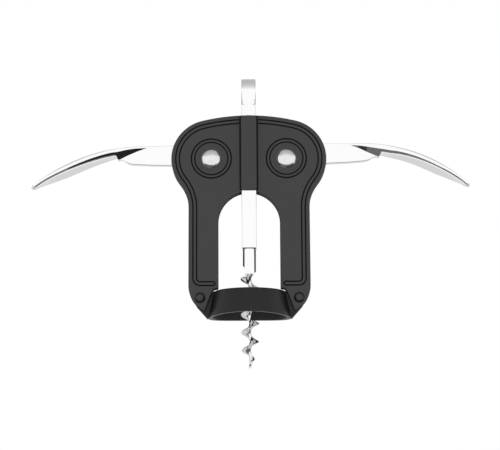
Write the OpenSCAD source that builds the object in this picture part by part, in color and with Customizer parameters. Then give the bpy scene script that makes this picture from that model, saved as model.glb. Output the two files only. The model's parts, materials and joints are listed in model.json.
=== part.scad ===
// Wing corkscrew: two stamped body plates, a flared collar, two toothed levers, a sliding rack
// and a screw that turns inside it. Millimetres. The origin is the centre of the collar's lower
// rim, +Z runs up the screw to the handle, X is the span of the levers and -Y is the front.

/* [Body] */
// Distance of each lever pivot from the middle
pivot_x = 17.7; // [17.7:0.1:18.5]
// Height of the lever pivots above the collar's rim
pivot_z = 74.4; // [72:0.1:78]
// Radius of the round head about each pivot
head_r = 18.9; // [18:0.1:19.5]
// Height of the body's top
top_z = 95.4; // [95.4:0.1:97]
// Radius of the hollow waist below each head
waist_r = 19.5; // [16:0.5:24]
// Half the width across the legs
leg_half = 28.4; // [27.5:0.1:29.5]
// Half the width of the window, and the radius of its arch
window_half = 14.5; // [13.5:0.1:15]
// Height of the arch's centre
arch_z = 44.2; // [40:0.1:44.4]
// Thickness of the plate metal
plate_t = 1.4; // [1.2:0.1:1.6]
// Gap between the two plates
plate_gap = 4.0; // [3.8:0.1:4.2]
// Depth of the pressed border and of the rings about the pivots
groove_depth = 0.5; // [0.3:0.1:0.6]

/* [Rib] */
// Half the width of the rack channel
channel_half = 3.6; // [3.55:0.05:3.7]
// Half the depth of the rack channel
channel_depth = 4.25; // [4.15:0.05:4.4]
// How far the rib's face is from the middle
rib_face = 5.6; // [5.4:0.1:6]
// Half the rib's width at its foot
rib_foot = 4.25; // [4.2:0.05:4.6]
// Half the rib's width at its face
rib_top = 3.9; // [3.8:0.05:4.1]
// Lower end of the rib
rib_z = 59.0; // [58.5:0.1:62]
// How far the rib's top is below the body's top
rib_drop = 0.6; // [0.2:0.1:1]

/* [Collar] */
// Outer radius at the rim
collar_r = 18.9; // [18.5:0.1:19.5]
// Outer radius at the top edge
collar_top_r = 16.8; // [16.4:0.1:17]
// Height of the collar
collar_h = 11.2; // [11:0.1:12]
// Wall thickness
collar_t = 1.8; // [1.5:0.1:2]
// How far the rim droops at the sides
rim_droop = 1.2; // [0.5:0.1:1.5]

/* [Fasteners] */
// Radius of the pivot pins
pin_r = 3.0; // [2.5:0.1:3.2]
// Radius of the pins' domed heads
pin_head_r = 4.3; // [4:0.1:5]
// Height of the domed heads
pin_head_h = 2.3; // [1.5:0.1:2.5]
// Sideways place of the leg rivets
rivet_x = 23.0; // [22.5:0.1:23.5]
// Height of the leg rivets
rivet_z = 8.2; // [8:0.1:9]
// Radius of the leg rivets' shanks
rivet_r = 1.5; // [1.2:0.1:1.8]

/* [Teeth] */
// Size of the teeth: pitch diameter over number of teeth
module_mm = 0.75; // [0.75]
// Teeth in a full circle of the lever's pitch
teeth = 40; // [40]
// Slack between a tooth and its gap
backlash = 0.12; // [0.1:0.01:0.2]

/* [Levers] */
// Thickness of the toothed sector and the web
web_t = 3.6; // [3.4:0.1:3.7]
// Radius along the top of the paddle
paddle_bend = 82; // [75:1:95]
// Widest part of the paddle
paddle_w = 16.6; // [14:0.1:20]
// Wall of the paddle
paddle_t = 1.6; // [1.4:0.1:2.2]
// Radius of the crown across the paddle
crown_r = 18; // [15:1:24]

/* [Rack] */
// Half the rack's width
rack_half = 3.45; // [3.4:0.01:3.5]
// Half the rack's depth
rack_depth = 4.0; // [3.8:0.05:4]
// Lower end of the rack
rack_z = 31.6; // [30:0.1:33]

/* [Screw] */
// Outer diameter of the worm
worm_d = 8.7; // [8:0.1:9.5]
// Diameter of the worm's core
core_d = 2.4; // [2:0.1:2.6]
// Thickness of the worm's blade at the core
blade_t = 3.4; // [2.4:0.1:3.8]
// Rise of one turn of the worm
worm_pitch = 8.35; // [8:0.05:10]
// Height of the worm's point, below the rim
worm_tip_z = -24.5; // [-28:0.5:-22]
// Radius of the ferrule that carries the worm
ferrule_r = 3.3; // [3:0.1:3.4]
// Lower end of the ferrule
ferrule_z = 19.4; // [19:0.1:22]
// Radius of the handle's round end
grip_r = 6.5; // [6:0.1:6.8]
// Thickness of the handle
grip_t = 6.8; // [6:0.1:7]
// Height of the handle's lower end
grip_z = 101.0; // [100.8:0.1:101.4]
// Height of the middle of its round end
key_z = 106.9; // [106.6:0.1:107.6]

/* [Hidden] */
$fn = 72;
fit = 0.05;            // running clearance round a pin or shaft
eps = 0.01;            // cutters run this far past the faces they cut
inner_y = plate_gap / 2;
outer_y = inner_y + plate_t;
pitch_r = module_mm * teeth / 2;
tooth_pitch = PI * module_mm;
pressure = 20;         // pressure angle of the teeth
base_r = pitch_r * cos(pressure);
tip_r = pitch_r + 0.7;
root_r = pitch_r - 1.0;
rack_pitch_x = pivot_x - pitch_r;
rack_root_x = rack_pitch_x - 0.9;
rack_top_z = 94.9;
shaft_r = 1.4;
washer_r = 3.3;
washer_t = 0.4;
black = [0.17, 0.17, 0.18];
chrome = [0.86, 0.87, 0.88];
steel = [0.72, 0.73, 0.75];

// ---- outlines ----
function unit(v) = v / norm(v);
function arc(c, r, a0, a1, n) =
    [for (i = [0 : n]) c + r * [cos(a0 + (a1 - a0) * i / n), sin(a0 + (a1 - a0) * i / n)]];
function backwards(list) = [for (i = [len(list) - 1 : -1 : 0]) list[i]];
function mirrored(list) = [for (p = backwards(list)) [-p.x, p.y]];
// A corner at p between the sides from a and to b, rounded to radius r
function corner(a, p, b, r, n = 5) =
    let (u = unit(a - p), v = unit(b - p), half = acos(u * v) / 2,
         c = p + unit(u + v) * r / sin(half),
         s = p + u * r / tan(half) - c, e = p + v * r / tan(half) - c,
         a0 = atan2(s.y, s.x), turn = (atan2(e.y, e.x) - a0 + 540) % 360 - 180)
    arc(c, r, a0, a0 + turn, n);
// A closed outline from corners [x, y, radius]
function rounded(pts, n = 5) = [for (i = [0 : len(pts) - 1])
    let (m = len(pts), a = pts[(i + m - 1) % m], p = pts[i], b = pts[(i + 1) % m])
    each (p[2] > 0 ? corner([a.x, a.y], [p.x, p.y], [b.x, b.y], p[2], n) : [[p.x, p.y]])];
// A smooth line through the points of a list, with n steps from each to the next
function smooth_line(list, n) = let (last = len(list) - 1) concat(
    [for (i = [0 : last - 1], j = [0 : n - 1])
        let (a = list[max(i - 1, 0)], b = list[i], c = list[i + 1], d = list[min(i + 2, last)],
             t = j / n)
        b + t / 2 * (c - a + t * (2 * a - 5 * b + 4 * c - d + t * (3 * (b - c) + d - a)))],
    [list[last]]);

// The body's outer edge, moved in by d: a long arc over the top, the round head, the hollow
// waist and the straight leg, each tangent to the next
rise = top_z - pivot_z;
top_r = (pivot_x * pivot_x + rise * rise - head_r * head_r) / (2 * (rise - head_r));
top_c = [0, top_z - top_r];
pivot_c = [pivot_x, pivot_z];
waist_cx = leg_half + waist_r;
waist_c = [waist_cx, pivot_z - sqrt(pow(head_r + waist_r, 2) - pow(waist_cx - pivot_x, 2))];
top_turn = atan2(pivot_c.y - top_c.y, pivot_c.x - top_c.x);
waist_turn = atan2(waist_c.y - pivot_c.y, waist_c.x - pivot_c.x);
function top_edge(d, x0) = arc(top_c, top_r - d, acos(x0 / (top_r - d)), top_turn, 10);
function head_edge(d, a0 = top_turn, a1 = waist_turn) = arc(pivot_c, head_r - d, a0, a1, 28);
function waist_edge(d) = arc(waist_c, waist_r + d, 180 + waist_turn, 180, 10);
function side_edge(d, x0) = concat(top_edge(d, x0), head_edge(d), waist_edge(d));

foot_r = 13;           // the leg's outer corner is one large arc
foot_z = 14;
foot_turn = -57;
foot_c = [leg_half - foot_r, foot_z];
foot_end = foot_c + foot_r * [cos(foot_turn), sin(foot_turn)];
toe = [21.0, 1.75];    // lowest point of a plate
heel = [17.0, 12.3];   // where the slanted edge meets the shelf above the collar
shelf = [window_half, 12.9];
plate_half = concat(side_edge(0, 0), arc(foot_c, foot_r, 0, foot_turn, 10),
    corner(foot_end, toe, heel, 0.7), corner(toe, heel, shelf, 1.2),
    corner(heel, shelf, [window_half, arch_z], 0.6),
    arc([0, arch_z], window_half, 0, 90, 22));
plate_outline = concat(plate_half, mirrored(plate_half));

// The pressed border is a bead between two narrow grooves, which join round its end
border_in = 1.8;       // from the edge to the outer groove
border_out = 4.15;     // and to the inner side of the inner groove
border_line = 0.6;     // width of a groove
border_z = 14.8;       // height of the border's foot
border_turn = 2.5;     // radius of its lower corner
border_end = 16.9;
border_mid = (border_in + border_out) / 2;
function border_edge(d, x0) = concat(side_edge(d, x0),
    arc([leg_half - border_mid - border_turn, border_z + border_turn],
        border_turn + border_mid - d, 0, -90, 8));
function border_band(from, to, x0) = concat(border_edge(from, x0),
    arc([border_end, border_z], (to - from) / 2, 270, 90, 10), backwards(border_edge(to, x0)));
ring_lines = [[7.55, 8.1], [9.1, 9.75]];   // radii of the two grooves about each pivot

// ---- helpers ----
// Extrudes a flat XZ shape from y0 to y1
module along_y(y0, y1) {
    translate([0, y1, 0]) rotate([90, 0, 0]) linear_extrude(y1 - y0) children();
}
module rod_y(x, z, r, y0, y1) {
    translate([x, y1, z]) rotate([90, 0, 0]) cylinder(r = r, h = y1 - y0);
}
// A domed head of radius r and height h whose flat side is at y = 0, bulging to -Y
module dome(r, h) {
    ball = (r * r + h * h) / (2 * h);
    rotate([90, 0, 0]) intersection() {
        translate([0, 0, h - ball]) sphere(r = ball);
        cylinder(r = r, h = h + 1);
    }
}
module both_sides() {
    children();
    mirror([1, 0, 0]) children();
}

// ---- body ----
// Flanges turned back from the edge of a plate to the seam with the other plate
module plate_flanges() {
    edge = 0.12;
    wall = 1.2;
    arch_r = window_half + edge;
    root = -inner_y - 0.4;
    // round the window, from the shelf over the arch
    along_y(root, 0) both_sides() polygon(concat(
        [[arch_r, shelf.y + 0.5]], arc([0, arch_z], arch_r, 0, 72, 18),
        arc([0, arch_z], arch_r + wall, 72, 0, 18), [[arch_r + wall, shelf.y + 0.5]]));
    // over the top and the shoulders, ending where the levers' slots begin
    both_sides() along_y(root, 0) polygon(concat(
        top_edge(edge, rib_foot - 0.2), head_edge(edge, top_turn, 58),
        backwards(head_edge(edge + wall, top_turn, 58)),
        backwards(top_edge(edge + wall, rib_foot - 0.2))));
    // down the outside of the lower legs
    both_sides() translate([leg_half - edge - wall, root, foot_z + 1])
        cube([wall, -root, foot_z]);
}

// The front plate; the back plate is the same pressing turned round
module plate() {
    difference() {
        union() {
            along_y(-outer_y, -inner_y) polygon(plate_outline);
            translate([0, 0, rib_z]) linear_extrude(top_z - rib_drop - rib_z) polygon([
                [-rib_foot, -inner_y], [rib_foot, -inner_y], [rib_foot, -outer_y],
                [rib_top, -rib_face], [-rib_top, -rib_face], [-rib_foot, -outer_y]]);
            plate_flanges();
        }
        translate([-channel_half, -channel_depth, arch_z])
            cube([2 * channel_half, channel_depth + 1, top_z]);
        both_sides() {
            along_y(-outer_y - 1, -outer_y + groove_depth) {
                difference() {
                    polygon(border_band(border_in, border_out, rib_foot + 0.3));
                    polygon(border_band(border_in + border_line, border_out - border_line,
                                        rib_foot - 1));
                }
                for (line = ring_lines) translate(pivot_c) difference() {
                    circle(r = line[1]);
                    circle(r = line[0]);
                }
            }
            rod_y(pivot_x, pivot_z, pin_r + fit, -outer_y - 1, 1);
            rod_y(rivet_x, rivet_z, rivet_r + fit, -outer_y - 1, 1);
        }
    }
}
module front_plate() { color(black) plate(); }
module back_plate() { color(black) rotate([0, 0, 180]) plate(); }

// ---- collar ----
rim_bend = collar_r * collar_r / (2 * rim_droop);
slope = (collar_r - collar_top_r) / collar_h;
ear = rounded([[15.6, 11.4, 0], [25.0, 11.4, 1.5], [26.0, 7.4, 2], [24.6, 4.3, 2],
    [19.6, -1.4, 0.6], [17.6, -1.4, 0]]);
function cone_r(z) = collar_r - slope * z;
// One half of the collar, on the +Y side, with a flat ear at each end
module collar_half() {
    difference() {
        union() {
            rotate_extrude(angle = 180) polygon([
                [cone_r(-2) - collar_t, -2], [cone_r(-2), -2], [cone_r(collar_h - 0.5), collar_h - 0.5],
                [collar_top_r - 0.4, collar_h], [collar_top_r - collar_t + 0.3, collar_h],
                [collar_top_r - collar_t, collar_h - 0.4]]);
            both_sides() difference() {
                along_y(0, inner_y) polygon(ear);
                translate([0, 0, -3]) cylinder(r1 = cone_r(-3) - 0.8, r2 = cone_r(13) - 0.8, h = 16);
            }
        }
        // the rim arches up at the front and back
        rod_y(0, -rim_bend, rim_bend, -25, 25);
        both_sides() rod_y(rivet_x, rivet_z, rivet_r + fit, -1, inner_y + 1);
    }
}
module collar_back() { color([0.13, 0.13, 0.14]) collar_half(); }
module collar_front() { color([0.13, 0.13, 0.14]) rotate([0, 0, 180]) collar_half(); }

// ---- pins and rivets ----
module pivot_pin(x) {
    color(chrome) {
        rod_y(x, pivot_z, pin_r, -outer_y, outer_y + 0.8);
        translate([x, -outer_y, pivot_z]) dome(pin_head_r, pin_head_h);
        translate([x, outer_y + 0.8, pivot_z]) rotate([0, 0, 180]) dome(3.9, 1.5);
    }
}
module left_pivot_pin() { pivot_pin(-pivot_x); }
module right_pivot_pin() { pivot_pin(pivot_x); }
module pivot_washer(x) {
    color(chrome) difference() {
        rod_y(x, pivot_z, 6.4, outer_y, outer_y + 0.8);
        rod_y(x, pivot_z, pin_r + fit, outer_y - 1, outer_y + 2);
    }
}
module left_pivot_washer() { pivot_washer(-pivot_x); }
module right_pivot_washer() { pivot_washer(pivot_x); }
module leg_rivet(x) {
    color(black) {
        rod_y(x, rivet_z, rivet_r, -outer_y, outer_y);
        translate([x, -outer_y, rivet_z]) dome(2.5, 1.2);
        translate([x, outer_y, rivet_z]) rotate([0, 0, 180]) dome(2.5, 1.2);
    }
}
module left_leg_rivet() { leg_rivet(-rivet_x); }
module right_leg_rivet() { leg_rivet(rivet_x); }

// ---- teeth ----
// Involute flank: the angle that the curve has swung by radius r, in degrees
function swing(r) = r <= base_r ? 0
    : let (a = acos(base_r / r)) tan(a) * 180 / PI - a;
half_tooth = 90 / teeth - backlash / 4 / pitch_r * 180 / PI;
function flank(r) = half_tooth + swing(pitch_r) - swing(r);
flank_r = [for (i = [0 : 5]) root_r - 0.3 + (tip_r - root_r + 0.3) * i / 5];
tooth_shape = concat([for (r = flank_r) r * [cos(flank(r)), sin(flank(r))]],
    [for (r = backwards(flank_r)) r * [cos(flank(r)), -sin(flank(r))]]);
first_tooth = -4;      // counted from the tooth that faces the rack, over the top
last_tooth = 9;
// One gap of the rack, between straight flanks, about its own middle height
function gap_half(x) = tooth_pitch / 4 + backlash / 4 + (x - rack_pitch_x) * tan(pressure);
gap_shape = [[rack_root_x, -gap_half(rack_root_x)], [rack_half + 1, -gap_half(rack_half + 1)],
    [rack_half + 1, gap_half(rack_half + 1)], [rack_root_x, gap_half(rack_root_x)]];
gaps_above = 4;
gaps_below = 10;
teeth_depth = 2.05;    // the cheeks on either side hide the teeth from the front

// ---- levers, drawn about the right pivot ----
bar_top = 7.0;         // top edge of the bar where it leaves the body
bar_turn = 1;          // the bar's top edge falls by this angle
bend_u = 33.8;         // the paddle's arc starts here
bend_v = 6.7;
bend_c = [bend_u - paddle_bend * sin(bar_turn), bend_v - paddle_bend * cos(bar_turn)];
tip_turn = 42;         // and ends after this turn
web_turn = 16;         // the web runs on under it as far as this
function on_bend(r, a) = bend_c + r * [sin(a), cos(a)];
// Half the width of the paddle at each distance from the pivot
leaf_w = paddle_w / 16.6;
leaf = smooth_line([[29.6, 1.8], [35, 1.95 * leaf_w], [39.5, 2.7 * leaf_w], [42.5, 3.9 * leaf_w],
    [45.5, 5.4 * leaf_w], [49, 6.7 * leaf_w], [53.5, 7.7 * leaf_w], [58.5, 8.15 * leaf_w],
    [63, 8.3 * leaf_w], [67, 8.2 * leaf_w], [70.5, 7.6 * leaf_w], [74, 6.5 * leaf_w],
    [78, 5.0 * leaf_w], [81.5, 3.6 * leaf_w], [84, 2.4 * leaf_w], [85.6, 1.2 * leaf_w],
    [86.2, 0]], 3);
leaf_outline = concat(leaf, [for (p = backwards(leaf)) if (p.y > 0) [p.x, -p.y]]);
web_outline = concat([[0, bar_top + 0.6], [18.6, bar_top]],
    [for (a = [bar_turn : 2 : web_turn]) on_bend(paddle_bend - 0.2, a)],
    [on_bend(paddle_bend - 0.2, web_turn), on_bend(paddle_bend - paddle_t, web_turn)],
    smooth_line([[50, 2.05], [45.6, 1.3], [42.8, 0.5], [40, -0.7], [38.2, -1.15], [34, -1.5],
        [28, -1.85], [18.6, -2.1]], 3), [[0, -4.6]]);
crown_c = paddle_bend - crown_r;
crown_step = 34 / 10;
module paddle() {
    intersection() {
        translate([bend_c.x, 0, bend_c.y]) rotate([90, 0, 0]) rotate([0, 0, 90 - tip_turn])
            rotate_extrude(angle = tip_turn) polygon(concat(
                [for (i = [-10 : 10]) [crown_c + crown_r * cos(i * crown_step),
                                       crown_r * sin(i * crown_step)]],
                [for (i = [10 : -1 : -10]) [crown_c + (crown_r - paddle_t) * cos(i * crown_step),
                                            (crown_r - paddle_t * 0.6) * sin(i * crown_step)]]));
        translate([0, 0, -30]) linear_extrude(60) polygon(leaf_outline);
    }
}
module lever() {
    color(chrome) difference() {
        union() {
            rod_y(0, 0, root_r, -web_t / 2, web_t / 2);
            along_y(-web_t / 2, web_t / 2) {
                for (i = [first_tooth : last_tooth]) rotate(180 + i * 360 / teeth)
                    polygon(tooth_shape);
                polygon(web_outline);
            }
            paddle();
        }
        rod_y(0, 0, pin_r + fit, -web_t, web_t);
    }
}
module right_lever() { translate([pivot_x, 0, pivot_z]) lever(); }
module left_lever() { mirror([1, 0, 0]) right_lever(); }

// ---- rack ----
module rack() {
    color(chrome) difference() {
        translate([0, 0, rack_z]) linear_extrude(rack_top_z - rack_z) polygon(rounded([
            [-rack_half, -rack_depth, 0.5], [rack_half, -rack_depth, 0.5],
            [rack_half, rack_depth, 0.5], [-rack_half, rack_depth, 0.5]]));
        translate([0, 0, rack_z - 1]) cylinder(r = shaft_r + fit, h = rack_top_z - rack_z + 2);
        both_sides() for (i = [-gaps_below : gaps_above])
            translate([0, 0, pivot_z + i * tooth_pitch])
                along_y(-teeth_depth, teeth_depth) polygon(gap_shape);
    }
}

// ---- screw ----
shaft_low = 24.2;
shaft_high = grip_z + 8;
neck_z = rack_top_z + 0.1 + washer_t;
ferrule_top = rack_z - 0.1 - washer_t;
module screw_shaft() {
    color(steel) translate([0, 0, shaft_low]) cylinder(r = shaft_r, h = shaft_high - shaft_low);
}
module washer(z) {
    translate([0, 0, z]) difference() {
        cylinder(r = washer_r, h = washer_t);
        translate([0, 0, -1]) cylinder(r = shaft_r + 0.02, h = washer_t + 2);
    }
}
module lower_washer() { color(steel) washer(ferrule_top); }
module upper_washer() { color(steel) washer(neck_z - washer_t); }
module neck_sleeve() {
    color(chrome) translate([0, 0, neck_z]) difference() {
        cylinder(r = grip_t / 2, h = grip_z - neck_z);
        translate([0, 0, -1]) cylinder(r = shaft_r + 0.02, h = grip_z - neck_z + 2);
    }
}
core_r = core_d / 2;
socket_z = 23.8;       // the ferrule holds the worm below this height and the shaft above it
ferrule_pin_z = 28.2;
module ferrule() {
    color(chrome) difference() {
        translate([0, 0, ferrule_z]) cylinder(r = ferrule_r, h = ferrule_top - ferrule_z);
        translate([0, 0, socket_z]) cylinder(r = shaft_r + 0.02, h = 10);
        translate([0, 0, ferrule_z - 1]) cylinder(r = core_r + 0.06, h = socket_z - ferrule_z + 1 + eps);
        // a scarf on the left and a chamfer on the right lead down to the worm
        along_y(-5, 5) polygon([[-2.1, ferrule_z - 1], [-2.1, ferrule_z + 2.7],
            [-3.6, ferrule_z + 4.6], [-6, ferrule_z + 4.6], [-6, ferrule_z - 1]]);
        along_y(-5, 5) polygon([[0.9, ferrule_z - 1], [3.8, ferrule_z + 1.9], [6, ferrule_z - 1]]);
        rotate([0, 0, 90]) rod_y(0, ferrule_pin_z, 0.7, -5, 5);
    }
}
// A pin driven in from the left and the right, as far as the shaft
module ferrule_pin() {
    color(steel) rotate([0, 0, 90]) {
        rod_y(0, ferrule_pin_z, 0.68, 0.1 - ferrule_r, -shaft_r);
        rod_y(0, ferrule_pin_z, 0.68, shaft_r, ferrule_r - 0.1);
    }
}

// The worm is a tapering core with one right-handed blade wound round it. Each ring of points is
// its level section: the blade's lobe, which turns with the height, and the back of the core.
worm_z = ferrule_z - 0.05;
worm_turns = (worm_z - worm_tip_z) / worm_pitch;
shank_turns = (socket_z - 0.2 - worm_z) / worm_pitch;
lead_turns = 0.3;      // the blade grows from the core over this part of a turn
point_turns = 0.95;    // and shrinks to the point over this part
edge_t = 0.35;         // thickness of the blade's edge
end_r = 0.3;
start_angle = 280;     // direction of the blade at worm_z
turn_step = 1 / 24;
lobe = [1, 0.87, 0.68, 0.47, 0.28, 0.12, 0];   // places across the blade, edge to root
back_steps = 5;
function smooth(t) = let (c = max(0, min(1, t))) c * c * (3 - 2 * c);
function ease_out(t) = pow(max(0, min(1, (worm_turns - t) / point_turns)), 1.15);
function core_at(t) = end_r + (core_r * (1 - 0.06 * max(0, t)) - end_r) * ease_out(t);
function blade_at(t) = core_at(t) + 0.02
    + (worm_d / 2 - core_r) * smooth(t / lead_turns) * ease_out(t);
// Half of the angle that the blade takes up at place x of the lobe
function lobe_turn(x) = 180 / worm_pitch * (edge_t + (blade_t - edge_t) * pow(1 - x, 1.3));
// The core itself winds at this distance from the axis
function out_at(t) = 0.7 * smooth(t / lead_turns) * ease_out(t);
function worm_ring(t) =
    let (r0 = core_at(t), out = out_at(t), r1 = blade_at(t) - out, a0 = start_angle - 360 * t, root = lobe_turn(0),
         half = [for (x = lobe) [r0 + (r1 - r0) * x, lobe_turn(x)]],
         back = [for (i = [1 : back_steps]) [r0, root + (180 - root) * i / back_steps]],
         side = concat(half, back))
    [for (p = concat(side, [for (q = backwards(side)) if (q[1] < 179.9) [q[0], -q[1]]]))
        [out * cos(a0) + p[0] * cos(a0 + p[1]), out * sin(a0) + p[0] * sin(a0 + p[1]),
         worm_z - worm_pitch * t]];
worm_path = [for (t = [-shank_turns : turn_step : worm_turns - turn_step / 2]) t, worm_turns];
module worm() {
    rings = len(worm_path);
    n = len(worm_ring(0));
    color(steel) polyhedron(points = [for (t = worm_path) each worm_ring(t)], faces = concat(
        [[for (k = [n - 1 : -1 : 0]) k]],
        [for (i = [0 : rings - 2], k = [0 : n - 1])
            let (a = i * n + k, b = i * n + (k + 1) % n)
            each [[a, b, a + n], [b, b + n, a + n]]],
        [[for (k = [0 : n - 1]) (rings - 1) * n + k]]));
}

// ---- handle ----
handle_pin_z = grip_z + 4.6;
// It is as deep as the neck at its foot and widens along tangents to its round end
neck_at = [grip_t / 2, grip_z - key_z];
taper = atan2(neck_at.y, neck_at.x) + acos(min(1, grip_r / norm(neck_at)));
handle_outline = concat([[-grip_t / 2, grip_z], [grip_t / 2, grip_z]],
    arc([0, key_z], grip_r, taper, 180 - taper, 36));
module handle() {
    edge_y = grip_r - 0.02;
    color(chrome) difference() {
        intersection() {
            rotate([0, 0, 90]) along_y(-grip_t, grip_t) polygon(handle_outline);
            translate([0, 0, grip_z - 1]) linear_extrude(20) polygon(rounded([
                [-grip_t / 2, -edge_y, 1.4], [grip_t / 2, -edge_y, 1.4],
                [grip_t / 2, edge_y, 1.4], [-grip_t / 2, edge_y, 1.4]]));
        }
        translate([0, 0, grip_z - 1]) cylinder(r = shaft_r + 0.02, h = shaft_high - grip_z + 1.1);
        rotate([0, 0, 90]) rod_y(0, handle_pin_z, 0.82, -5, 5);
    }
}
module handle_pin() {
    color(steel) rotate([0, 0, 90]) {
        rod_y(0, handle_pin_z, 0.8, -grip_t / 2 + 0.1, -shaft_r);
        rod_y(0, handle_pin_z, 0.8, shaft_r, grip_t / 2 - 0.1);
    }
}

front_plate();
back_plate();
collar_front();
collar_back();
left_pivot_pin();
right_pivot_pin();
left_pivot_washer();
right_pivot_washer();
left_leg_rivet();
right_leg_rivet();
left_lever();
right_lever();
rack();
screw_shaft();
lower_washer();
ferrule();
ferrule_pin();
worm();
upper_washer();
neck_sleeve();
handle();
handle_pin();
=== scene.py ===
# Wing corkscrew: finishes for every part, and detailed meshes that stand in for the plain ones of
# the CAD model. Shapes are drawn in millimetres; Blender's own units and the studio are metres.
import json
import math

import bmesh
import bpy
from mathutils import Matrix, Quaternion, Vector


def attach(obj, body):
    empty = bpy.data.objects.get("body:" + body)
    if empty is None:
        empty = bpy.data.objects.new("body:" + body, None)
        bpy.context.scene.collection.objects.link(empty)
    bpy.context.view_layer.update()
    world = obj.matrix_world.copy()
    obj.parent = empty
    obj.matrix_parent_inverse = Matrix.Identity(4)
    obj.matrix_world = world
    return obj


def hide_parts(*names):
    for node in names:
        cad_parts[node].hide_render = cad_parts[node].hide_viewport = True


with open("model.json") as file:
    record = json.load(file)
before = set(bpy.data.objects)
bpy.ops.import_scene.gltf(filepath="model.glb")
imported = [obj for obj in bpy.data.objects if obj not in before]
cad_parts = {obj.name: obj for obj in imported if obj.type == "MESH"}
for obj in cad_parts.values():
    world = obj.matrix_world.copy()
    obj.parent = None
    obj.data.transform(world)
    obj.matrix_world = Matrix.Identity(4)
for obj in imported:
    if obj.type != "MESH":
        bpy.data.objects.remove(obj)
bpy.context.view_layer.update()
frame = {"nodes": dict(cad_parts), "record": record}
nodes = frame["nodes"]
mm = 0.001
near = 0.01 * mm       # two places closer than this are the same
weldGap = 0.002 * mm   # and so are two vertices closer than this
flatAngle, splitAngle, sharpAngle = math.radians(0.5), math.radians(35), math.radians(40)
print("frame loaded:", len(nodes), "nodes")


# small helpers for node trees

def newGroup(name, inputs, outputs):
    tree = bpy.data.node_groups.new(name, "ShaderNodeTree")
    for label, kind, value in inputs:
        socket = tree.interface.new_socket(label, in_out="INPUT", socket_type=kind)
        if value is not None:
            socket.default_value = value
    for label, kind in outputs:
        tree.interface.new_socket(label, in_out="OUTPUT", socket_type=kind)
    return tree, tree.nodes.new("NodeGroupInput"), tree.nodes.new("NodeGroupOutput")


def addNode(tree, kind, values=(), links=(), **settings):
    node = tree.nodes.new(kind)
    for key, value in settings.items():
        setattr(node, key, value)
    for socket, value in dict(values).items():
        node.inputs[socket].default_value = value
    for socket, source in dict(links).items():
        tree.links.new(source, node.inputs[socket])
    return node


mixA, mixB, mixResult = 6, 7, 2    # a Mix node's colour sockets share their names with others


# each of the two colours is a fixed one, or comes from another node
def mixColor(tree, factor, a, b):
    mix = addNode(tree, "ShaderNodeMix", {}, {"Factor": factor}, data_type="RGBA")
    for socket, color in ((mixA, a), (mixB, b)):
        if isinstance(color, tuple):
            mix.inputs[socket].default_value = (*color, 1)
        else:
            tree.links.new(color, mix.inputs[socket])
    return mix.outputs[mixResult]


# grain: the fine orange-peel of a baked coating, with a slower drift in its gloss
def grainGroup():
    tree, start, end = newGroup("coatingGrain", [
        ("Position", "NodeSocketVector", None), ("Grain Size", "NodeSocketFloat", 3000.0),
        ("Drift Size", "NodeSocketFloat", 90.0)],
        [("Height", "NodeSocketFloat"), ("Drift", "NodeSocketFloat")])
    fine = addNode(tree, "ShaderNodeTexNoise", {"Detail": 2.0, "Roughness": 0.55},
                   {"Vector": start.outputs["Position"], "Scale": start.outputs["Grain Size"]})
    slow = addNode(tree, "ShaderNodeTexNoise", {"Detail": 3.0, "Roughness": 0.6},
                   {"Vector": start.outputs["Position"], "Scale": start.outputs["Drift Size"]})
    tree.links.new(fine.outputs["Fac"], end.inputs["Height"])
    tree.links.new(slow.outputs["Fac"], end.inputs["Drift"])
    return tree


# edge wear rubbed bright along convex edges, broken up by noise; and painted shade in the creases
# between
def wearAndHollowShadeGroup():
    tree, start, end = newGroup("edgeWearAndHollowShade", [
        ("Position", "NodeSocketVector", None), ("Threshold", "NodeSocketFloat", 0.56),
        ("Patch Size", "NodeSocketFloat", 350.0)],
        [("Mask", "NodeSocketFloat"), ("Painted Hollow Shade", "NodeSocketFloat")])
    shape = addNode(tree, "ShaderNodeNewGeometry")
    patches = addNode(tree, "ShaderNodeTexNoise", {"Detail": 4.0, "Roughness": 0.65},
                      {"Vector": start.outputs["Position"], "Scale": start.outputs["Patch Size"]})
    upper = addNode(tree, "ShaderNodeMath", {1: 0.1}, {0: start.outputs["Threshold"]},
                    operation="ADD")
    edge = addNode(tree, "ShaderNodeMapRange", {}, {
        "Value": shape.outputs["Pointiness"], "From Min": start.outputs["Threshold"],
        "From Max": upper.outputs[0]})
    broken = addNode(tree, "ShaderNodeMapRange", {"From Min": 0.42, "From Max": 0.68},
                     {"Value": patches.outputs["Fac"]})
    mask = addNode(tree, "ShaderNodeMath", {}, {0: edge.outputs[0], 1: broken.outputs[0]},
                   operation="MULTIPLY")
    paintedHollowShade = addNode(tree, "ShaderNodeMapRange", {"From Min": 0.49, "From Max": 0.42},
                     {"Value": shape.outputs["Pointiness"]})
    tree.links.new(mask.outputs[0], end.inputs["Mask"])
    tree.links.new(paintedHollowShade.outputs[0], end.inputs["Painted Hollow Shade"])
    return tree


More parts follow.
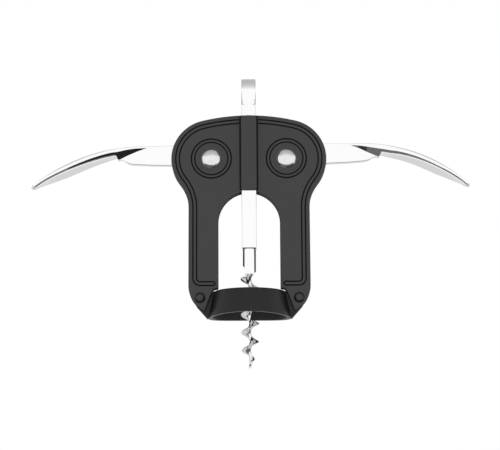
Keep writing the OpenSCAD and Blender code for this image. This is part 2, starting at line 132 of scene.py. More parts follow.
# handling marks: hair-fine polishing lines and soft smears on plated metal
def polishGroup():
    tree, start, end = newGroup("polishMarks", [
        ("Position", "NodeSocketVector", None), ("Line Size", "NodeSocketFloat", 900.0),
        ("Smear Size", "NodeSocketFloat", 70.0)],
        [("Lines", "NodeSocketFloat"), ("Smears", "NodeSocketFloat")])
    stretched = addNode(tree, "ShaderNodeMapping", {"Scale": (0.06, 1.0, 1.0)},
                        {"Vector": start.outputs["Position"]})
    lines = addNode(tree, "ShaderNodeTexNoise", {"Detail": 2.0, "Roughness": 0.5},
                    {"Vector": stretched.outputs[0], "Scale": start.outputs["Line Size"]})
    smears = addNode(tree, "ShaderNodeTexNoise", {"Detail": 4.0, "Roughness": 0.6},
                     {"Vector": start.outputs["Position"], "Scale": start.outputs["Smear Size"]})
    tree.links.new(lines.outputs["Fac"], end.inputs["Lines"])
    tree.links.new(smears.outputs["Fac"], end.inputs["Smears"])
    return tree


coatingGrain = grainGroup()
edgeWearAndHollowShade = wearAndHollowShadeGroup()
polishMarks = polishGroup()


# an effect placed in a material; Grain_Size stands for the group's input Grain Size
def place(tree, group, position, **values):
    node = addNode(tree, "ShaderNodeGroup", {}, {}, node_tree=group)
    tree.links.new(position, node.inputs["Position"])
    for key, value in values.items():
        node.inputs[key.replace("_", " ")].default_value = value
    return node


def newMaterial(name):
    mat = bpy.data.materials.new(name)
    mat.use_nodes = True
    tree = mat.node_tree
    position = tree.nodes.new("ShaderNodeTexCoord").outputs["Object"]
    return mat, tree, tree.nodes["Principled BSDF"], position


coating = {"glossier": 0.05, "duller": 0.07, "bump": 0.35}
plating = {"smearFrom": 0.3, "smearTo": 0.75, "bump": 0.2}


# a sprayed and baked black coating; look holds its own colours and gloss
def coatedMaterial(name, look):
    mat, tree, shader, position = newMaterial(name)
    shader.inputs["Specular IOR Level"].default_value = look["specular"]
    grain = place(tree, coatingGrain, position, Grain_Size=look["grainSize"])
    wear = place(tree, edgeWearAndHollowShade, position, Threshold=look["wearFrom"])
    color = mixColor(tree, grain.outputs["Drift"], look["dark"], look["light"])
    color = mixColor(tree, wear.outputs["Mask"], color, look["worn"])
    # painted shade: a darker colour laid into concave creases
    color = mixColor(tree, wear.outputs["Painted Hollow Shade"], color, look["paintedHollowShade"])
    tree.links.new(color, shader.inputs["Base Color"])
    gloss = addNode(tree, "ShaderNodeMapRange", {
        "To Min": look["roughness"] - coating["glossier"],
        "To Max": look["roughness"] + coating["duller"]},
        {"Value": grain.outputs["Drift"]})
    tree.links.new(gloss.outputs[0], shader.inputs["Roughness"])
    bump = addNode(tree, "ShaderNodeBump", {
        "Strength": coating["bump"], "Distance": look["grainDepth"] * mm},
        {"Height": grain.outputs["Height"]})
    tree.links.new(bump.outputs[0], shader.inputs["Normal"])
    return mat


# bright plating or bare steel, with polishing lines and smears in its gloss
def metalMaterial(name, look):
    mat, tree, shader, position = newMaterial(name)
    shader.inputs["Metallic"].default_value = 1.0
    marks = place(tree, polishMarks, position, Line_Size=look["lineSize"],
                  Smear_Size=look["smearSize"])
    wear = place(tree, edgeWearAndHollowShade, position)
    color = mixColor(tree, marks.outputs["Smears"], look["dark"], look["light"])
    # painted shade: a darker colour laid into concave creases
    color = mixColor(tree, wear.outputs["Painted Hollow Shade"], color, look["paintedHollowShade"])
    tree.links.new(color, shader.inputs["Base Color"])
    smear = addNode(tree, "ShaderNodeMapRange", {
        "From Min": plating["smearFrom"], "From Max": plating["smearTo"],
        "To Min": look["roughness"], "To Max": look["roughness"] + look["smear"]},
        {"Value": marks.outputs["Smears"]})
    tree.links.new(smear.outputs[0], shader.inputs["Roughness"])
    bump = addNode(tree, "ShaderNodeBump", {
        "Strength": plating["bump"], "Distance": look["lineDepth"] * mm},
        {"Height": marks.outputs["Lines"]})
    tree.links.new(bump.outputs[0], shader.inputs["Normal"])
    return mat


# in each look, the colour for creases is painted shade, laid into concave hollows
plateCoat = coatedMaterial("plateCoat", {
    "dark": (0.027, 0.027, 0.028), "light": (0.032, 0.032, 0.033), "worn": (0.07, 0.07, 0.072),
    "paintedHollowShade": (0.006, 0.006, 0.006), "roughness": 0.44, "specular": 0.5, "grainSize": 2600.0,
    "grainDepth": 0.03, "wearFrom": 0.64})
# painted shade: the plate coat made nearly black on the faces that inShade picks
paintedShadeCoat = coatedMaterial("paintedShadeCoat", {    # the same coat where light hardly reaches
    "dark": (0.003, 0.003, 0.003), "light": (0.005, 0.005, 0.005), "worn": (0.01, 0.01, 0.01),
    "paintedHollowShade": (0.002, 0.002, 0.002), "roughness": 0.6, "specular": 0.2, "grainSize": 2600.0,
    "grainDepth": 0.03, "wearFrom": 0.6})
collarCoat = coatedMaterial("collarCoat", {
    "dark": (0.005, 0.005, 0.0053), "light": (0.0075, 0.0075, 0.008),
    "worn": (0.04, 0.04, 0.042), "paintedHollowShade": (0.003, 0.003, 0.003), "roughness": 0.36,
    "specular": 0.34, "grainSize": 2600.0, "grainDepth": 0.02, "wearFrom": 0.57})
polishedChrome = metalMaterial("polishedChrome", {
    "dark": (0.955, 0.955, 0.96), "light": (0.98, 0.98, 0.985), "paintedHollowShade": (0.955, 0.955, 0.96),
    "roughness": 0.035, "smear": 0.05, "smearSize": 70.0, "lineSize": 900.0, "lineDepth": 0.004})
pinChrome = metalMaterial("pinChrome", {
    "dark": (0.66, 0.66, 0.665), "light": (0.95, 0.95, 0.955), "paintedHollowShade": (0.66, 0.66, 0.665),
    "roughness": 0.13, "smear": 0.08, "smearSize": 420.0, "lineSize": 700.0, "lineDepth": 0.01})
# the worm's crease colour is nearly black: painted shade where the blade meets the core
wormChrome = metalMaterial("wormChrome", {
    "dark": (0.78, 0.78, 0.785), "light": (0.92, 0.92, 0.925), "paintedHollowShade": (0.03, 0.03, 0.03),
    "roughness": 0.05, "smear": 0.06, "smearSize": 70.0, "lineSize": 900.0, "lineDepth": 0.006})
plainSteel = metalMaterial("plainSteel", {
    "dark": (0.5, 0.5, 0.51), "light": (0.6, 0.6, 0.61), "paintedHollowShade": (0.5, 0.5, 0.51),
    "roughness": 0.25, "smear": 0.1, "smearSize": 70.0, "lineSize": 600.0, "lineDepth": 0.01})
print("materials done")

# the finish of each material slot in the record, and the slot of each node
finishes = {
    "plate_black": plateCoat, "collar_black": collarCoat, "rivet_black": collarCoat,
    "pin_chrome": pinChrome, "lever_chrome": polishedChrome, "rack_chrome": polishedChrome,
    "handle_chrome": polishedChrome, "worm_steel": wormChrome, "plain_steel": plainSteel,
}
slots = {part["node"]: part["material_slot"] for part in frame["record"]["subparts"]}
for name, obj in nodes.items():
    obj.data.materials.clear()
    obj.data.materials.append(finishes[slots[name]])
    for face in obj.data.polygons:
        face.use_smooth = True

# the small hidden nodes keep their mesh, with crisp edges
for name in ("screw_shaft", "ferrule_pin", "handle_pin"):
    weld = nodes[name].modifiers.new("weld", "WELD")
    weld.merge_threshold = weldGap
    split = nodes[name].modifiers.new("split", "EDGE_SPLIT")
    split.split_angle = splitAngle
print("kept nodes done")


# a smooth value through a table of (place, value) pairs
def along(table, x):
    if x <= table[0][0]:
        return table[0][1]
    for i in range(len(table) - 1):
        (x1, y1), (x2, y2) = table[i], table[i + 1]
        if x <= x2:
            x0, y0 = table[max(i - 1, 0)]
            x3, y3 = table[min(i + 2, len(table) - 1)]
            t = (x - x1) / (x2 - x1)
            slopeIn = (y2 - y0) / (x2 - x0) * (x2 - x1)
            slopeOut = (y3 - y1) / (x3 - x1) * (x2 - x1)
            return ((2 * t**3 - 3 * t**2 + 1) * y1 + (t**3 - 2 * t**2 + t) * slopeIn
                    + (3 * t**2 - 2 * t**3) * y2 + (t**3 - t**2) * slopeOut)
    return table[-1][1]


# from 0 to 1 with a soft start and end
def ease(t):
    t = max(0.0, min(1.0, t))
    return t * t * (3 - 2 * t)


# a closed ring of edges is extruded from each ring of points to the next, then both ends closed
def sweep(bm, rings):
    line = [bm.verts.new(p) for p in rings[0]]
    edges = [bm.edges.new((line[i], line[(i + 1) % len(line)])) for i in range(len(line))]
    bmesh.ops.contextual_create(bm, geom=edges)
    for ring in rings[1:]:
        order = {vert: i for i, vert in enumerate(line)}
        made = bmesh.ops.extrude_edge_only(bm, edges=edges)["geom"]
        line = [None] * len(ring)
        for vert in made:
            if isinstance(vert, bmesh.types.BMVert):
                for edge in vert.link_edges:
                    i = order.get(edge.other_vert(vert))
                    if i is not None:
                        line[i] = vert
        for vert, p in zip(line, ring):
            vert.co = p
        ends = set(line)
        edges = [e for e in made if isinstance(e, bmesh.types.BMEdge)
                 and e.verts[0] in ends and e.verts[1] in ends]
    bmesh.ops.contextual_create(bm, geom=edges)


# a finished piece takes the node's place and the finish of the node's slot
def finishPiece(name, bm, body, node, sharp=50, flats=False):
    bmesh.ops.remove_doubles(bm, verts=bm.verts, dist=weldGap)
    bmesh.ops.recalc_face_normals(bm, faces=bm.faces)
    mesh = bpy.data.meshes.new(name)
    bm.to_mesh(mesh)
    bm.free()
    piece = bpy.data.objects.new(name, mesh)
    bpy.context.scene.collection.objects.link(piece)
    slotName = slots[node]
    mesh.materials.append(finishes[slotName])
    for face in mesh.polygons:
        face.use_smooth = True
    mesh.set_sharp_from_angle(angle=math.radians(sharp))
    if flats:    # flat faces keep their own normals, and the rounding takes up the turn
        normals = piece.modifiers.new("flats", "WEIGHTED_NORMAL")
        normals.keep_sharp = True
        normals.weight = 100
    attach(piece, body)
    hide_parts(node)
    return piece


# the lever, drawn about its pivot: u runs out along the bar, and heights are above the pivot
lever = {
    "pivot": (17.7, 74.4), "start": 9.0, "end": {1: 86.7, -1: 85.1},
    "drawnTo": 86.7, "stretchFrom": 60,    # the tables reach so far; past 60 they stretch to "end"
    "bend": 82.0, "bendTurn": 1.0, "bendAt": (33.8, 6.85), "barTop": 7.15, "barTopAt": 18.6,
    # the two levers of the photograph differ a little: the right one (1) stands higher
    "lift": {1: [(9, 0), (14, 0.05), (18.6, 0.3), (31, 0.45), (41, 0.68), (52, 0.95), (65, 1.25),
                 (76, 1.1), (86, 0.8)],
             -1: [(9, 0), (14, -0.05), (18.6, -0.3), (31, -0.45), (41, -0.55), (52, -0.55),
                  (65, -0.75), (76, -0.75), (86, -0.7)]},
    "lower": [(0, -4.6), (14, -3.2), (18.6, -2.65), (28, -2.3), (34, -1.95), (37.4, -1.7),
              (38.8, -1.35), (40, -0.85), (41.4, -0.1), (42.8, 0.75), (43.9, 1.45), (45, 2.2),
              (46.5, 3.0), (50, 3.2), (60, 3.2)],
    "halfWidth": [(27, 1.8), (30.3, 1.81), (33.7, 2.7), (37, 3.62), (40.3, 4.4), (43.7, 5.1),
                  (46, 5.5), (49, 6.1), (53.5, 6.8), (58.5, 7.3), (63, 7.6), (67, 7.8),
                  (70.5, 7.8), (74, 7.5), (78, 6.5), (81.5, 5.1), (84, 3.7), (85.5, 2.6),
                  (86.7, 0.9)],
    # the crowned top, and how its corner is rounded
    "crown": 18.0, "crownSteps": 9, "cornerAngles": (67, 45, 22, 0), "cornerShare": 0.3,
    "topRound": [(30, 0.25), (44, 0.3), (54, 0.5), (70, 0.5), (86, 0.3)],
    # the paddle's edge, the chamfer under it and the gusset that the chamfer grows out of
    "edgeFace": {1: [(29, 0.4), (35, 0.9), (38.7, 1.4), (42.5, 1.7), (46, 1.75), (50, 1.6),
                     (54, 1.2), (62, 1.0), (74, 0.8), (86.7, 0.45)],
                 -1: [(29, 0.5), (35, 0.65), (40, 0.95), (44.3, 1.3), (48, 1.1), (62, 1.0),
                      (74, 0.8), (86.7, 0.45)]},
    "chamfer": [(45.4, 1.35), (50, 1.3), (58, 1.1), (66, 0.85), (76, 0.5), (86.7, 0.3)],
    "chamferTilt": 48, "chamferMost": 0.35, "chamferShare": {1: 0.6, -1: 0.85},
    "gussetEnd": 45.7, "gussetRun": 1.0, "gussetSteps": 4,
    # the flat web below, its fillet under the paddle and its rounded foot
    "webHalf": 1.8, "webShare": 0.6, "webLeast": 0.04, "webFloor": 0.4, "fillet": 0.5,
    "filletSteps": 4, "filletDrop": 0.01, "bottomRound": 0.5, "bottomShare": 0.4,
    "bottomSteps": 3, "depthGuess": 3.0, "depthTries": 8, "stations": 90,
}
# the toothed sector round the pivot; teeth are counted from the one opposite the tip, upwards
sector = {
    "hole": 3.06, "holeEdge": 0.2, "root": 14.0, "pitch": 15.0, "pressure": 20, "teeth": 40,
    "first": -4, "last": 9, "foot": 13.7, "high": 2.0, "thinner": 0.03, "flankSteps": 5,
    "steps": 96,
}


# where the ridge of the lever runs, and how far it leans there
def ridge(u, side):
    bendU, bendV = lever["bendAt"]
    lean = math.radians(lever["bendTurn"])
    lift = along(lever["lift"][side], u)
    if u <= bendU:
        top = along([(lever["start"], lever["barTop"]), (lever["barTopAt"], lever["barTop"]),
                     (bendU, bendV)], u)
        return u, lift + top, lean * min(1, u / bendU)
    turn = math.asin(math.sin(lean) + (u - bendU) / lever["bend"])
    return u, lift + bendV - lever["bend"] * (math.cos(lean) - math.cos(turn)), turn


# half of the paddle's section, from the middle of its crown round its edge and in to the web
def paddleHalf(u, side, wide, web):
    crown, slant = lever["crown"], math.tan(math.radians(lever["chamferTilt"]))

    def sag(y):
        return crown - math.sqrt(crown**2 - y * y)
    top = min(along(lever["topRound"], u), wide * lever["cornerShare"])
    steps = lever["crownSteps"]
    half = [(y, -sag(y)) for y in [(wide - top) * k / steps for k in range(steps + 1)]]
    for angle in lever["cornerAngles"]:
        turn = math.radians(angle)
        half.append((wide - top + top * math.cos(turn),
                     -sag(wide - top) - top * (1 - math.sin(turn))))
    edge = -sag(wide) - top - along(lever["edgeFace"][side], u)
    half += [(wide, (half[-1][1] + edge) / 2), (wide, edge)]
    # the gusset is one slanted facet from the edge in to the web, and runs out into a chamfer
    cut = (min(along(lever["chamfer"], u), wide * lever["chamferMost"])
           * lever["chamferShare"][side])
    cut += max(0.0, wide - web - cut) * ease((lever["gussetEnd"] - u) / lever["gussetRun"])
    inner = max(web, wide - cut)
    under = edge - (wide - inner) / slant
    half.append((inner, under))
    fillet = min(lever["fillet"], max(0.0, inner - web) / 2)
    steps = lever["filletSteps"]
    for k in range(1, steps + 1):
        y = inner + (web + fillet - inner) * k / steps
        half.append((y, under + sag(inner) - sag(y) - lever["filletDrop"] * k))
    start = half[-1][1]
    for k in range(1, steps + 1):
        turn = math.radians(90 * k / steps)
        half.append((web + fillet * (1 - math.sin(turn)),
                     start - fillet * (1 - math.cos(turn)) - lever["filletDrop"] * k))
    return half


# half of the web's section below it, down to the middle of its foot
def webHalf(start, depth, web):
    below = max(lever["webLeast"], depth + start)
    foot, steps = min(lever["bottomRound"], below * lever["bottomShare"]), lever["bottomSteps"]
    half = [(web, start - (below - foot) / 2)]
    for k in range(steps + 1):
        turn = math.radians(90 * k / steps)
        half.append((web - foot * (1 - math.cos(turn)),
                     start - below + foot * (1 - math.sin(turn))))
    half.append((web * lever["webFloor"], start - below))
    return half


def leverRing(u, side):
    x, z, lean = ridge(u, side)
    depth = lever["depthGuess"]
    for _ in range(lever["depthTries"]):    # the lean carries the foot towards the pivot
        foot = x - depth * math.sin(lean)
        depth = ((z - along(lever["lower"], foot) - along(lever["lift"][side], foot))
                 / math.cos(lean))
    stretched = u * lever["drawnTo"] / lever["end"][side] if u > lever["stretchFrom"] else u
    wide = along(lever["halfWidth"], stretched)
    web = min(lever["webHalf"], wide if u < lever["gussetEnd"] else wide * lever["webShare"])
    half = paddleHalf(u, side, wide, web)
    half += webHalf(half[-1][1], depth, web)
    loop = half + [(-y, h) for y, h in reversed(half[1:])]
    px, pz = lever["pivot"]
    return [Vector(((px + x + h * math.sin(lean)), y, pz + z + h * math.cos(lean))) * mm
            for y, h in loop]


# the outline of one tooth, with involute flanks
def toothPoints(index):
    pitch = sector["pitch"]
    base = pitch * math.cos(math.radians(sector["pressure"]))

    def swing(r):
        if r <= base:
            return 0.0
        turn = math.acos(base / r)
        return math.tan(turn) - turn
    halfTooth = math.radians(90 / sector["teeth"]) - sector["thinner"] / pitch
    middle = math.radians(180 + index * 360 / sector["teeth"])
    steps = sector["flankSteps"]
    radii = [sector["foot"] + sector["high"] * k / steps for k in range(steps + 1)]
    flanks = [(r, halfTooth + swing(pitch) - swing(r)) for r in radii]
    px, pz = lever["pivot"]
    return [Vector((px + r * math.cos(middle + a), -lever["webHalf"],
                    pz + r * math.sin(middle + a))) * mm
            for r, a in flanks + [(r, -a) for r, a in reversed(flanks)]]


def makeLever(side):
    bm = bmesh.new()
    first, last, count = lever["start"], lever["end"][side], lever["stations"]
    end, run, extra = lever["gussetEnd"], lever["gussetRun"], lever["gussetSteps"]
    places = sorted([first + (last - first) * k / count for k in range(count + 1)]
                    + [end - run * k / extra for k in range(extra + 1)])
    sweep(bm, [leverRing(u, side) for u in places])
    faces = [bm.faces.new([bm.verts.new(p) for p in toothPoints(i)])
             for i in range(sector["first"], sector["last"] + 1)]
    made = bmesh.ops.extrude_face_region(bm, geom=faces)["geom"]
    bmesh.ops.translate(bm, vec=(0, 2 * lever["webHalf"] * mm, 0),
                        verts=[v for v in made if isinstance(v, bmesh.types.BMVert)])
    px, pz = lever["pivot"]
    hole, edge, flat = sector["hole"], sector["holeEdge"], lever["webHalf"]
    hub = [bm.verts.new(Vector((px + r, y, pz)) * mm) for r, y in (
        (hole, edge - flat), (hole + edge, -flat), (sector["root"], -flat),
        (sector["root"], flat), (hole + edge, flat), (hole, flat - edge))]
    rim = [bm.edges.new((hub[i], hub[(i + 1) % len(hub)])) for i in range(len(hub))]
    bmesh.ops.spin(bm, geom=hub + rim, cent=Vector((px, 0, pz)) * mm, axis=(0, 1, 0),
                   angle=2 * math.pi, steps=sector["steps"], use_merge=True)
    if side < 0:
        bmesh.ops.scale(bm, vec=(-1, 1, 1), verts=bm.verts)
    name = "left" if side < 0 else "right"
    finishPiece(name + "LeverCasting", bm, name + "_lever", name + "_lever", sharp=33)


makeLever(1)
makeLever(-1)
print("levers done")


# a copy of a CAD node's mesh, its flat faces joined again
def nodeCopy(node):
    bm = bmesh.new()
    bm.from_mesh(nodes[node].data)
    bmesh.ops.remove_doubles(bm, verts=bm.verts, dist=weldGap)
    bmesh.ops.dissolve_limit(bm, angle_limit=flatAngle, verts=bm.verts, edges=bm.edges)
    bmesh.ops.recalc_face_normals(bm, faces=bm.faces)
    return bm


def sharpEdges(bm):
    return [e for e in bm.edges if e.is_convex and e.calc_face_angle(0) > sharpAngle]


def roundEdges(bm, edges, width, segments=3):
    bmesh.ops.bevel(bm, geom=[e for e in edges if e.is_valid], offset=width * mm,
                    segments=segments, profile=0.5, affect="EDGES", clamp_overlap=True,
                    material=-1)


def trianglesOnly(bm):
    bmesh.ops.triangulate(bm, faces=bm.faces, quad_method="BEAUTY", ngon_method="EAR_CLIP")


# the plates: outer edges and groove rims rounded, grooves a little deeper, and painted shade, a
# darker coat, in the grooves, on the rib's sides, round the window and inside; depths are from the
# middle plane
plate = {
    "outside": 0.3, "grooveRim": 0.08, "inner": 2.0, "face": 3.4, "grooveFloor": 2.9,
    "grooveFrom": 0.1, "deeper": 0.1,
    "ribEdges": ((4.25, 4.45, -0.01), (3.9, 3.6, 1.0)),    # from, to, and how far past the face
    "ribFrom": 0.5, "ribSteep": 0.7, "channelHalf": 3.8,
    "archHalf": 14.8, "archAt": 44.2, "windowFrom": 13, "wallTilt": 0.5,
}


# the least and greatest depth of a face or an edge
def depthRange(part):
    depths = [abs(vert.co.y) for vert in part.verts]
    return min(depths), max(depths)


# the faces that get the painted shade coat
def inShade(face):
    least, most = depthRange(face)
    floorAt, faceAt = plate["grooveFloor"] * mm, plate["face"] * mm
    groove = floorAt - near < least < faceAt - plate["grooveFrom"] * mm and most < faceAt + near
    ribSide = most > faceAt + plate["ribFrom"] * mm and abs(face.normal.x) > plate["ribSteep"]
    inside = most < plate["inner"] * mm + near
    middle = face.calc_center_median() / mm
    reach = math.hypot(middle.x, max(0.0, middle.z - plate["archAt"]))
    inWindow = (reach < plate["archHalf"] and abs(face.normal.y) < plate["wallTilt"]
                and middle.z > plate["windowFrom"] and abs(middle.x) > plate["channelHalf"])
    return groove or ribSide or inside or inWindow


def makePlate(name, node):
    bm = nodeCopy(node)
    floorAt, faceAt = plate["grooveFloor"] * mm, plate["face"] * mm
    for vert in bm.verts:
        for before, after, out in plate["ribEdges"]:
            if abs(abs(vert.co.x) - before * mm) < near and abs(vert.co.y) > faceAt + out * mm:
                vert.co.x = math.copysign(after * mm, vert.co.x)
                break
    for face in bm.faces:
        face.material_index = int(inShade(face))
    outside, rims = [], []
    for edge in sharpEdges(bm):
        if depthRange(edge)[0] < floorAt - near:
            continue
        rim = any(face.material_index and depthRange(face)[0] > floorAt - near
                  and depthRange(face)[1] < faceAt + near for face in edge.link_faces)
        (rims if rim else outside).append(edge)
    for vert in bm.verts:
        if abs(abs(vert.co.y) - floorAt) < near:
            vert.co.y -= math.copysign(plate["deeper"] * mm, vert.co.y)
    roundEdges(bm, outside, plate["outside"])
    roundEdges(bm, rims, plate["grooveRim"], 2)
    trianglesOnly(bm)
    piece = finishPiece(name, bm, "frame", node, flats=True)
    piece.data.materials.append(paintedShadeCoat)


makePlate("frontPressing", "front_plate")
makePlate("backPressing", "back_plate")
print("plates done")

# the other parts that are right in the CAD: name, node, body and the rounding of their edges
rounded = [
    ("frontCollar", "collar_front", "frame", 0.35),
    ("backCollar", "collar_back", "frame", 0.35),
    ("rackBar", "rack", "rack", 0.25),
    ("ferruleTube", "ferrule", "screw", 0.15),
    ("neckTube", "neck_sleeve", "screw", 0.03),
    ("leftPivotWasher", "left_pivot_washer", "frame", 0.2),
    ("rightPivotWasher", "right_pivot_washer", "frame", 0.2),
    ("lowerWasher", "lower_washer", "screw", 0.1),
    ("upperWasher", "upper_washer", "screw", 0.1),
]
for name, node, body, width in rounded:
    bm = nodeCopy(node)
    roundEdges(bm, sharpEdges(bm), width)
    trianglesOnly(bm)
    finishPiece(name, bm, body, node, flats=True)
print("rounded copies done")

# pins and rivets: a shank with a domed head at the front and a riveted-over end at the back
pin = {
    "pivot": {"at": (17.7, 74.4), "shank": 3.0, "head": 4.7, "high": 2.3, "front": 3.4,
              "tail": 3.9, "tailHigh": 1.5, "back": 4.2},
    "leg": {"at": (23.0, 8.2), "shank": 1.5, "head": 2.5, "high": 1.2, "front": 3.4,
            "tail": 2.5, "tailHigh": 1.2, "back": 3.4, "crownFrom": 0.88},
    "steps": 72, "domeSteps": 12,
}


def makePin(name, kind, side, node):
    look, steps = pin[kind], pin["domeSteps"]
    x, z = look["at"][0] * side, look["at"][1]
    profile = []
    for radius, high, base, way in ((look["head"], look["high"], look["front"], -1),
                                    (look["tail"], look["tailHigh"], look["back"], 1)):
        ball = (radius**2 + high**2) / (2 * high)
        reach = math.asin(radius / ball)
        arc = [(ball * math.sin(reach * k / steps),
                way * (base + high - ball + ball * math.cos(reach * k / steps)))
               for k in range(steps + 1)]
        arc.append((look["shank"], way * base))
        profile += arc if way < 0 else list(reversed(arc))
    bm = bmesh.new()
    line = [bm.verts.new(Vector((x + r, y, z)) * mm) for r, y in profile]
    edges = [bm.edges.new(pair) for pair in zip(line, line[1:])]
    bmesh.ops.spin(bm, geom=line + edges, cent=Vector((x, 0, z)) * mm, axis=(0, 1, 0),
                   angle=2 * math.pi, steps=pin["steps"], use_merge=True)
    piece = finishPiece(name, bm, "frame", node)
    # the rivet head's rim keeps the darker collar coat, as painted shade round the head
    if "crownFrom" in look:    # painted shade ring on the rim; the middle is as grey as the plates
        piece.data.materials.append(plateCoat)
        for face in piece.data.polygons:
            face.material_index = int(face.normal.y < -look["crownFrom"])


makePin("rightPivotPin", "pivot", 1, "right_pivot_pin")
makePin("leftPivotPin", "pivot", -1, "left_pivot_pin")
makePin("rightLegRivet", "leg", 1, "right_leg_rivet")
makePin("leftLegRivet", "leg", -1, "left_leg_rivet")
print("pins and rivets done")

# the worm: a tapering core with one right-hand blade, drawn as level sections; the blade's
# half thickness falls from the root to the edge over the shares in "across"
worm = {
    "outer": 4.4, "core": 1.4, "taper": 0.06, "aside": 0.2, "pitch": 8.35,
    "top": 19.35, "shank": 23.6, "tip": -24.3, "startAngle": 269, "leadTurns": 0.22,
    "pointTurns": 0.95, "pointPower": 1.15, "point": 0.5, "coreOut": 0.7,
    "edge": 0.35, "root": 3.4, "bladePower": 1.3, "bladeLeast": 0.02,
    "edgeFrom": 0.9, "edgeLeast": 0.02,
    "across": (1, 0.985, 0.95, 0.88, 0.78, 0.66, 0.53, 0.4, 0.28, 0.17, 0.08, 0),
    "backSteps": 7, "stepsPerTurn": 48,
}


# the level section t turns below the blade's start
def wormRing(t):
    turns = (worm["top"] - worm["tip"]) / worm["pitch"]
    shrink = max(0.0, min(1.0, (turns - t) / worm["pointTurns"])) ** worm["pointPower"]
    thickest = worm["core"] * (1 - worm["taper"] * max(0, t))
    core = worm["point"] + (thickest - worm["point"]) * shrink
    grown = ease(t / worm["leadTurns"]) * shrink
    out = worm["coreOut"] * grown    # the core winds round the axis too
    blade = core + worm["bladeLeast"] + (worm["outer"] - worm["core"]) * grown - out
    middle = math.radians(worm["startAngle"] - 360 * t)
    half = []
    for x in worm["across"]:
        thick = worm["edge"] + (worm["root"] - worm["edge"]) * (1 - x) ** worm["bladePower"]
        if x > worm["edgeFrom"]:
            past = (x - worm["edgeFrom"]) / (1 - worm["edgeFrom"])
            thick *= math.sqrt(max(worm["edgeLeast"], 1 - past ** 2))
        half.append((core + (blade - core) * x, math.pi / worm["pitch"] * thick))
    root = half[-1][1]
    half += [(core, root + (math.pi - root) * k / worm["backSteps"])
             for k in range(1, worm["backSteps"] + 1)]
    ring = half + [(r, -a) for r, a in reversed(half[:-1])]
    z = worm["top"] - worm["pitch"] * t
    return [Vector((worm["aside"] + out * math.cos(middle) + r * math.cos(middle + a),
                    out * math.sin(middle) + r * math.sin(middle + a), z)) * mm for r, a in ring]


def makeWorm():
    above = (worm["shank"] - worm["top"]) / worm["pitch"]
    below = (worm["top"] - worm["tip"]) / worm["pitch"]
    steps = round((above + below) * worm["stepsPerTurn"])
    bm = bmesh.new()
    sweep(bm, [wormRing(-above + (above + below) * k / steps) for k in range(steps + 1)])
    finishPiece("wormBlade", bm, "screw", "worm", sharp=60)


makeWorm()
print("worm done")

# the thumb key: flat and round-ended, forged out of its neck and seen edge-on at rest
key = {
    "foot": 101.0, "halfThick": 3.4, "middle": 106.4, "halfDeep": 5.9, "high": 7.5,
    "edge": 0.8, "footEdge": 1.7, "edgeFrom": 2.0, "cornerSteps": 8, "flareSteps": 20,
    "domeSteps": 44, "domeTurn": 88,
}


def flare(t):    # half straight, half eased, so that it nowhere turns far down
    return (t + ease(t)) / 2


def keyRing(z, deep):
    crest = key["middle"] + key["high"] - key["edge"]
    past = max(0.0, z - crest) / key["edge"]
    thick = key["halfThick"] - key["edge"] * (1 - math.sqrt(1 - past * past))
    spread = 1 - min(1, (z - key["foot"]) / key["edgeFrom"])    # a little rounder at the foot
    corner = min(thick, deep, key["edge"] + (key["footEdge"] - key["edge"]) * spread)
    ring = []
    for quarter, (wayX, wayY) in enumerate(((1, 1), (-1, 1), (-1, -1), (1, -1))):
        for k in range(key["cornerSteps"] + 1):
            turn = math.pi / 2 * (quarter + k / key["cornerSteps"])
            ring.append(Vector((wayX * (thick - corner) + corner * math.cos(turn),
                                wayY * (deep - corner) + corner * math.sin(turn), z)) * mm)
    return ring


def makeKey():
    rings = []
    for k in range(key["flareSteps"]):
        t = k / key["flareSteps"]
        deep = key["halfThick"] + (key["halfDeep"] - key["halfThick"]) * flare(t)
        rings.append(keyRing(key["foot"] + (key["middle"] - key["foot"]) * t, deep))
    for k in range(key["domeSteps"] + 1):
        turn = math.radians(key["domeTurn"]) * k / key["domeSteps"]
        rings.append(keyRing(key["middle"] + key["high"] * math.sin(turn),
                             key["halfDeep"] * math.cos(turn)))
    bm = bmesh.new()
    sweep(bm, rings)
    finishPiece("keyCasting", bm, "screw", "handle", flats=True)


makeKey()
print("key done")

# camera, at the photograph's angle: level with the object and a little below it
shot = {
    "target": (0.00038, 0.0, 0.0430), "distance": 0.658, "elevation": -10.7, "azimuth": 0.0,
    "roll": -0.33, "lens": 100.8, "sensor": 36,
}
cam = bpy.data.objects.new("camera", bpy.data.cameras.new("camera"))
bpy.context.scene.collection.objects.link(cam)
cam.data.lens = shot["lens"]
cam.data.sensor_width = shot["sensor"]
az, el = math.radians(shot["azimuth"]), math.radians(shot["elevation"])
back = Vector((math.sin(az) * math.cos(el), -math.cos(az) * math.cos(el), math.sin(el)))
cam.location = Vector(shot["target"]) + back * shot["distance"]
cam.rotation_mode = "QUATERNION"
cam.rotation_quaternion = ((-back).to_track_quat("-Z", "Y")
                           @ Quaternion((0, 0, 1), math.radians(shot["roll"])))
bpy.context.scene.camera = cam

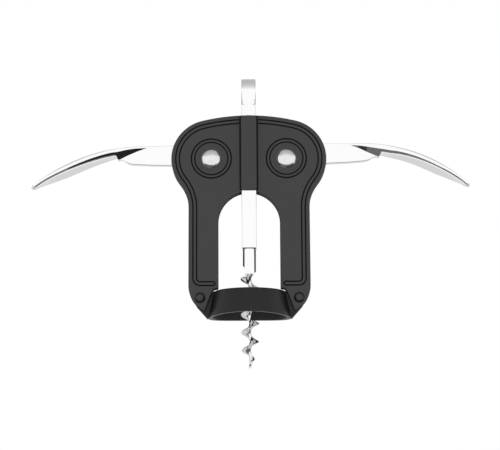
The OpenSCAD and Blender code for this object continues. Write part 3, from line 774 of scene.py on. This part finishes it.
# studio: white surroundings and a pale floor, with a grey ceiling panel, dark cards and one
# bright card that only the plated parts see, as reflections
studio = {
    "worldLight": 0.85, "floorAt": -0.2, "floorHalf": 3, "floorColor": (0.8, 0.8, 0.8),
    "ceiling": {"front": -1.1, "back": 2.6, "half": 1.2, "high": 0.75, "bright": 0.95,
                "grey": 0.5, "fadeTo": -0.2},
    "lowAt": -0.19,
    "lowCards": [    # name, x from and to, y from and to, shade and glow
        ("cardBelow", (-0.5, 0.02), (-0.055, 0.06), 0.17, 0.0),
        ("cardBelowRight", (0.02, 0.5), (-0.055, 0.06), 0.02, 0.0),
        ("cardFront", (-0.5, 0.5), (-0.17, -0.055), 0.14, 0.0),
        ("cardBright", (-3, 3), (-3, -0.17), 0.0, 1.0)],
    "sideY": (0.04, 0.5), "sideZ": (-0.05, 0.155),
    "sideCards": [("cardRight", 0.55, 0.08), ("cardLeft", -0.55, 0.04)],    # name, x and shade
}


def flatPanel(name, corners, color, glow=0.0):
    bm = bmesh.new()
    bm.faces.new([bm.verts.new(p) for p in corners])
    mesh = bpy.data.meshes.new(name)
    bm.to_mesh(mesh)
    bm.free()
    panel = bpy.data.objects.new(name, mesh)
    bpy.context.scene.collection.objects.link(panel)
    mat = bpy.data.materials.new(name)
    mat.use_nodes = True
    shader = mat.node_tree.nodes["Principled BSDF"]
    shader.inputs["Base Color"].default_value = (*color, 1)
    shader.inputs["Roughness"].default_value = 0.9
    shader.inputs["Specular IOR Level"].default_value = 0.0
    shader.inputs["Emission Color"].default_value = (1, 1, 1, 1)
    shader.inputs["Emission Strength"].default_value = glow
    mesh.materials.append(mat)
    return panel


def levelCorners(xs, ys, z):
    return [(xs[0], ys[0], z), (xs[1], ys[0], z), (xs[1], ys[1], z), (xs[0], ys[1], z)]


def onlyReflected(panel):
    panel.visible_camera = False
    panel.visible_diffuse = False
    panel.visible_shadow = False
    panel.visible_transmission = False
    panel.visible_volume_scatter = False


half = studio["floorHalf"]
flatPanel("floor", levelCorners((-half, half), (-half, half), studio["floorAt"]),
          studio["floorColor"])
ceiling = studio["ceiling"]
corners = levelCorners((-ceiling["half"], ceiling["half"]), (ceiling["front"], ceiling["back"]),
                       ceiling["high"])
panel = flatPanel("ceiling", corners[:1] + corners[:0:-1], (0, 0, 0), ceiling["grey"])
onlyReflected(panel)
tree = panel.data.materials[0].node_tree    # it fades from bright at the front to grey overhead
position = addNode(tree, "ShaderNodeTexCoord")
split = addNode(tree, "ShaderNodeSeparateXYZ", {}, {"Vector": position.outputs["Object"]})
fade = addNode(tree, "ShaderNodeMapRange", {
    "From Min": ceiling["front"], "From Max": ceiling["fadeTo"], "To Min": ceiling["bright"],
    "To Max": ceiling["grey"]}, {"Value": split.outputs["Y"]})
tree.links.new(fade.outputs[0], tree.nodes["Principled BSDF"].inputs["Emission Strength"])
for name, xs, ys, shade, glow in studio["lowCards"]:
    onlyReflected(flatPanel(name, levelCorners(xs, ys, studio["lowAt"]), (shade,) * 3, glow))
for name, x, shade in studio["sideCards"]:
    (y0, y1), (z0, z1) = studio["sideY"], studio["sideZ"]
    onlyReflected(flatPanel(name, [(x, y0, z0), (x, y1, z0), (x, y1, z1), (x, y0, z1)],
                            (shade,) * 3))

# the world is white where it is seen, and a little dimmer as light
world = bpy.data.worlds.new("studio")
bpy.context.scene.world = world
world.use_nodes = True
tree = world.node_tree
path = tree.nodes.new("ShaderNodeLightPath")
seen = addNode(tree, "ShaderNodeMath", {}, {0: path.outputs["Is Camera Ray"],
                                            1: path.outputs["Is Glossy Ray"]},
               operation="MAXIMUM")
seenOrThrough = addNode(tree, "ShaderNodeMath", {}, {
    0: seen.outputs[0], 1: path.outputs["Is Transmission Ray"]}, operation="MAXIMUM")
level = addNode(tree, "ShaderNodeMapRange", {"To Min": studio["worldLight"], "To Max": 1.0},
                {"Value": seenOrThrough.outputs[0]})
background = tree.nodes["Background"]
background.inputs["Color"].default_value = (1, 1, 1, 1)
tree.links.new(level.outputs[0], background.inputs["Strength"])
bpy.context.scene.view_settings.view_transform = "Standard"
print("studio done")
